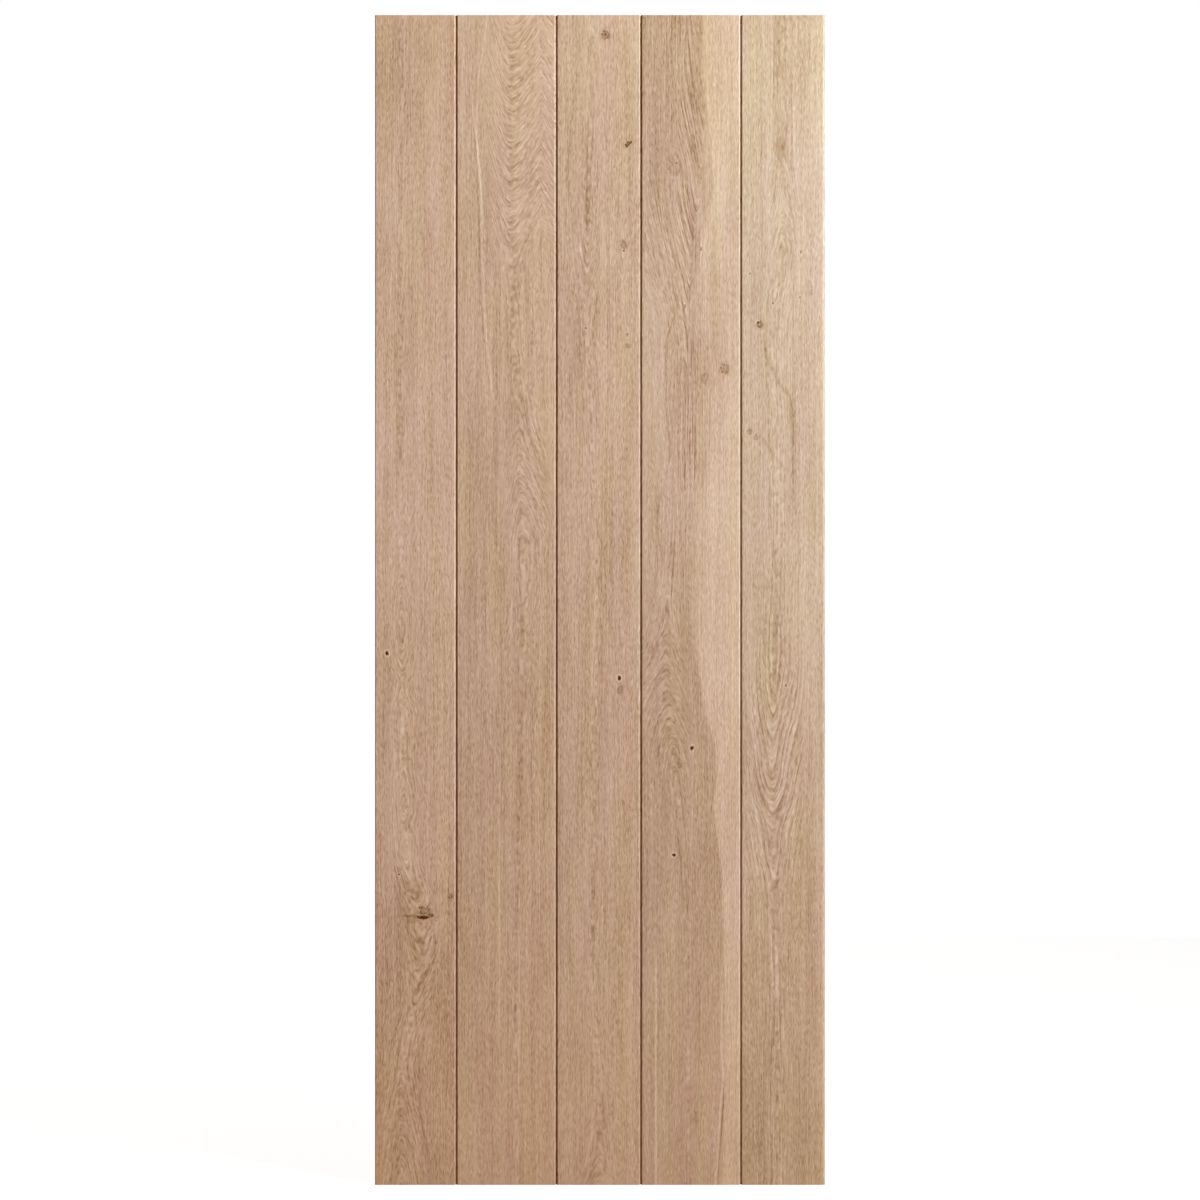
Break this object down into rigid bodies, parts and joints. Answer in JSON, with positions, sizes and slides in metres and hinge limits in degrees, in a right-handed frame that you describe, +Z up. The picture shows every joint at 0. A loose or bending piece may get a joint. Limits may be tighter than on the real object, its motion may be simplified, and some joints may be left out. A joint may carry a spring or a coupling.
{
  "type": "ledged oak door leaf",
  "caption": "Rectangular oak door leaf of upright tongued and grooved boards with V joints, held by ledges screwed across its back, to hang in a doorway.",
  "frame": {"origin": "foot of the leaf, half-way across it, in the plane where the boards meet the ledges, which is half-way through the leaf", "axes": "+X across the leaf from left to right as seen from the boarded front, +Y from the boarded front to the ledged back, +Z up the boards"},
  "size_m": [0.762, 0.04, 1.981],
  "materials": {
    "oak_board": "planed and sanded bare oak with knots",
    "oak_ledge": "planed and sanded bare oak",
    "oak_pellet": "planed flush, bare oak",
    "screw_steel": "yellow passivated zinc"
  },
  "bodies": {
    "root": {"left_edge_board": "oak_board", "left_wide_board": "oak_board", "centre_board": "oak_board", "right_wide_board": "oak_board", "right_edge_board": "oak_board", "top_ledge": "oak_ledge", "middle_ledge": "oak_ledge", "bottom_ledge": "oak_ledge", "top_ledge_screws": "screw_steel", "middle_ledge_screws": "screw_steel", "bottom_ledge_screws": "screw_steel", "top_ledge_pellets": "oak_pellet", "middle_ledge_pellets": "oak_pellet", "bottom_ledge_pellets": "oak_pellet"}
  },
  "joints": []
}
